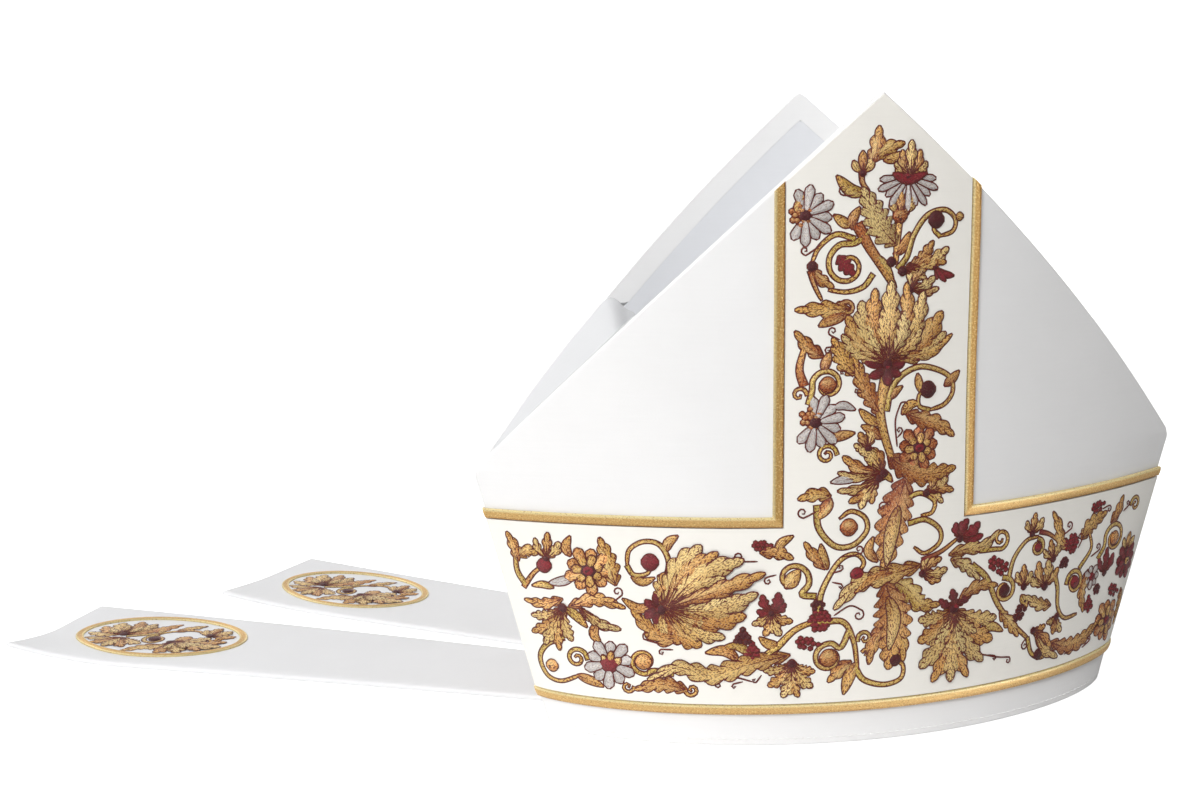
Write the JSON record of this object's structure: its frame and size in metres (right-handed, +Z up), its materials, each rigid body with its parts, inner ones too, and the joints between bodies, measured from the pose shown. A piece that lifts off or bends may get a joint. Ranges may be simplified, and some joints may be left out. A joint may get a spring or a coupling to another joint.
{
  "type": "bishop mitre",
  "caption": "White stiffened bishop's mitre with gold braids, a T-shaped embroidered orphrey, a soft web between the horns and lappets laid out behind.",
  "frame": {"origin": "middle of the head opening, on the plane of the rim", "axes": "+Z up to the apexes; -Y is the way the wearer faces; X runs from side seam to side seam"},
  "size_m": [0.5572, 0.3433, 0.2813],
  "materials": {
    "white_cloth": "fine plain weave, matt white",
    "orphrey_cloth": "fine plain weave, warm white",
    "lining_cloth": "smooth cool white lining",
    "lappet_cloth": "padded white cloth",
    "gold_braid": "raised gold satin-stitch braid",
    "gold_embroidery": "antique gold satin stitch",
    "crimson_embroidery": "dark crimson satin stitch",
    "silver_embroidery": "silver-grey satin stitch"
  },
  "bodies": {
    "root": {"front_shell": "white_cloth", "back_shell": "white_cloth", "front_lining": "lining_cloth", "back_lining": "lining_cloth", "front_facing": "white_cloth", "back_facing": "white_cloth", "crown_gusset": "lining_cloth", "front_orphrey": "orphrey_cloth", "back_orphrey": "orphrey_cloth", "front_braid_left": "gold_braid", "front_braid_right": "gold_braid", "front_braid_lower": "gold_braid", "back_braid_left": "gold_braid", "back_braid_right": "gold_braid", "back_braid_lower": "gold_braid", "lappet_left": "lappet_cloth", "lappet_right": "lappet_cloth", "lappet_left_ring": "gold_braid", "lappet_right_ring": "gold_braid"}
  },
  "joints": []
}
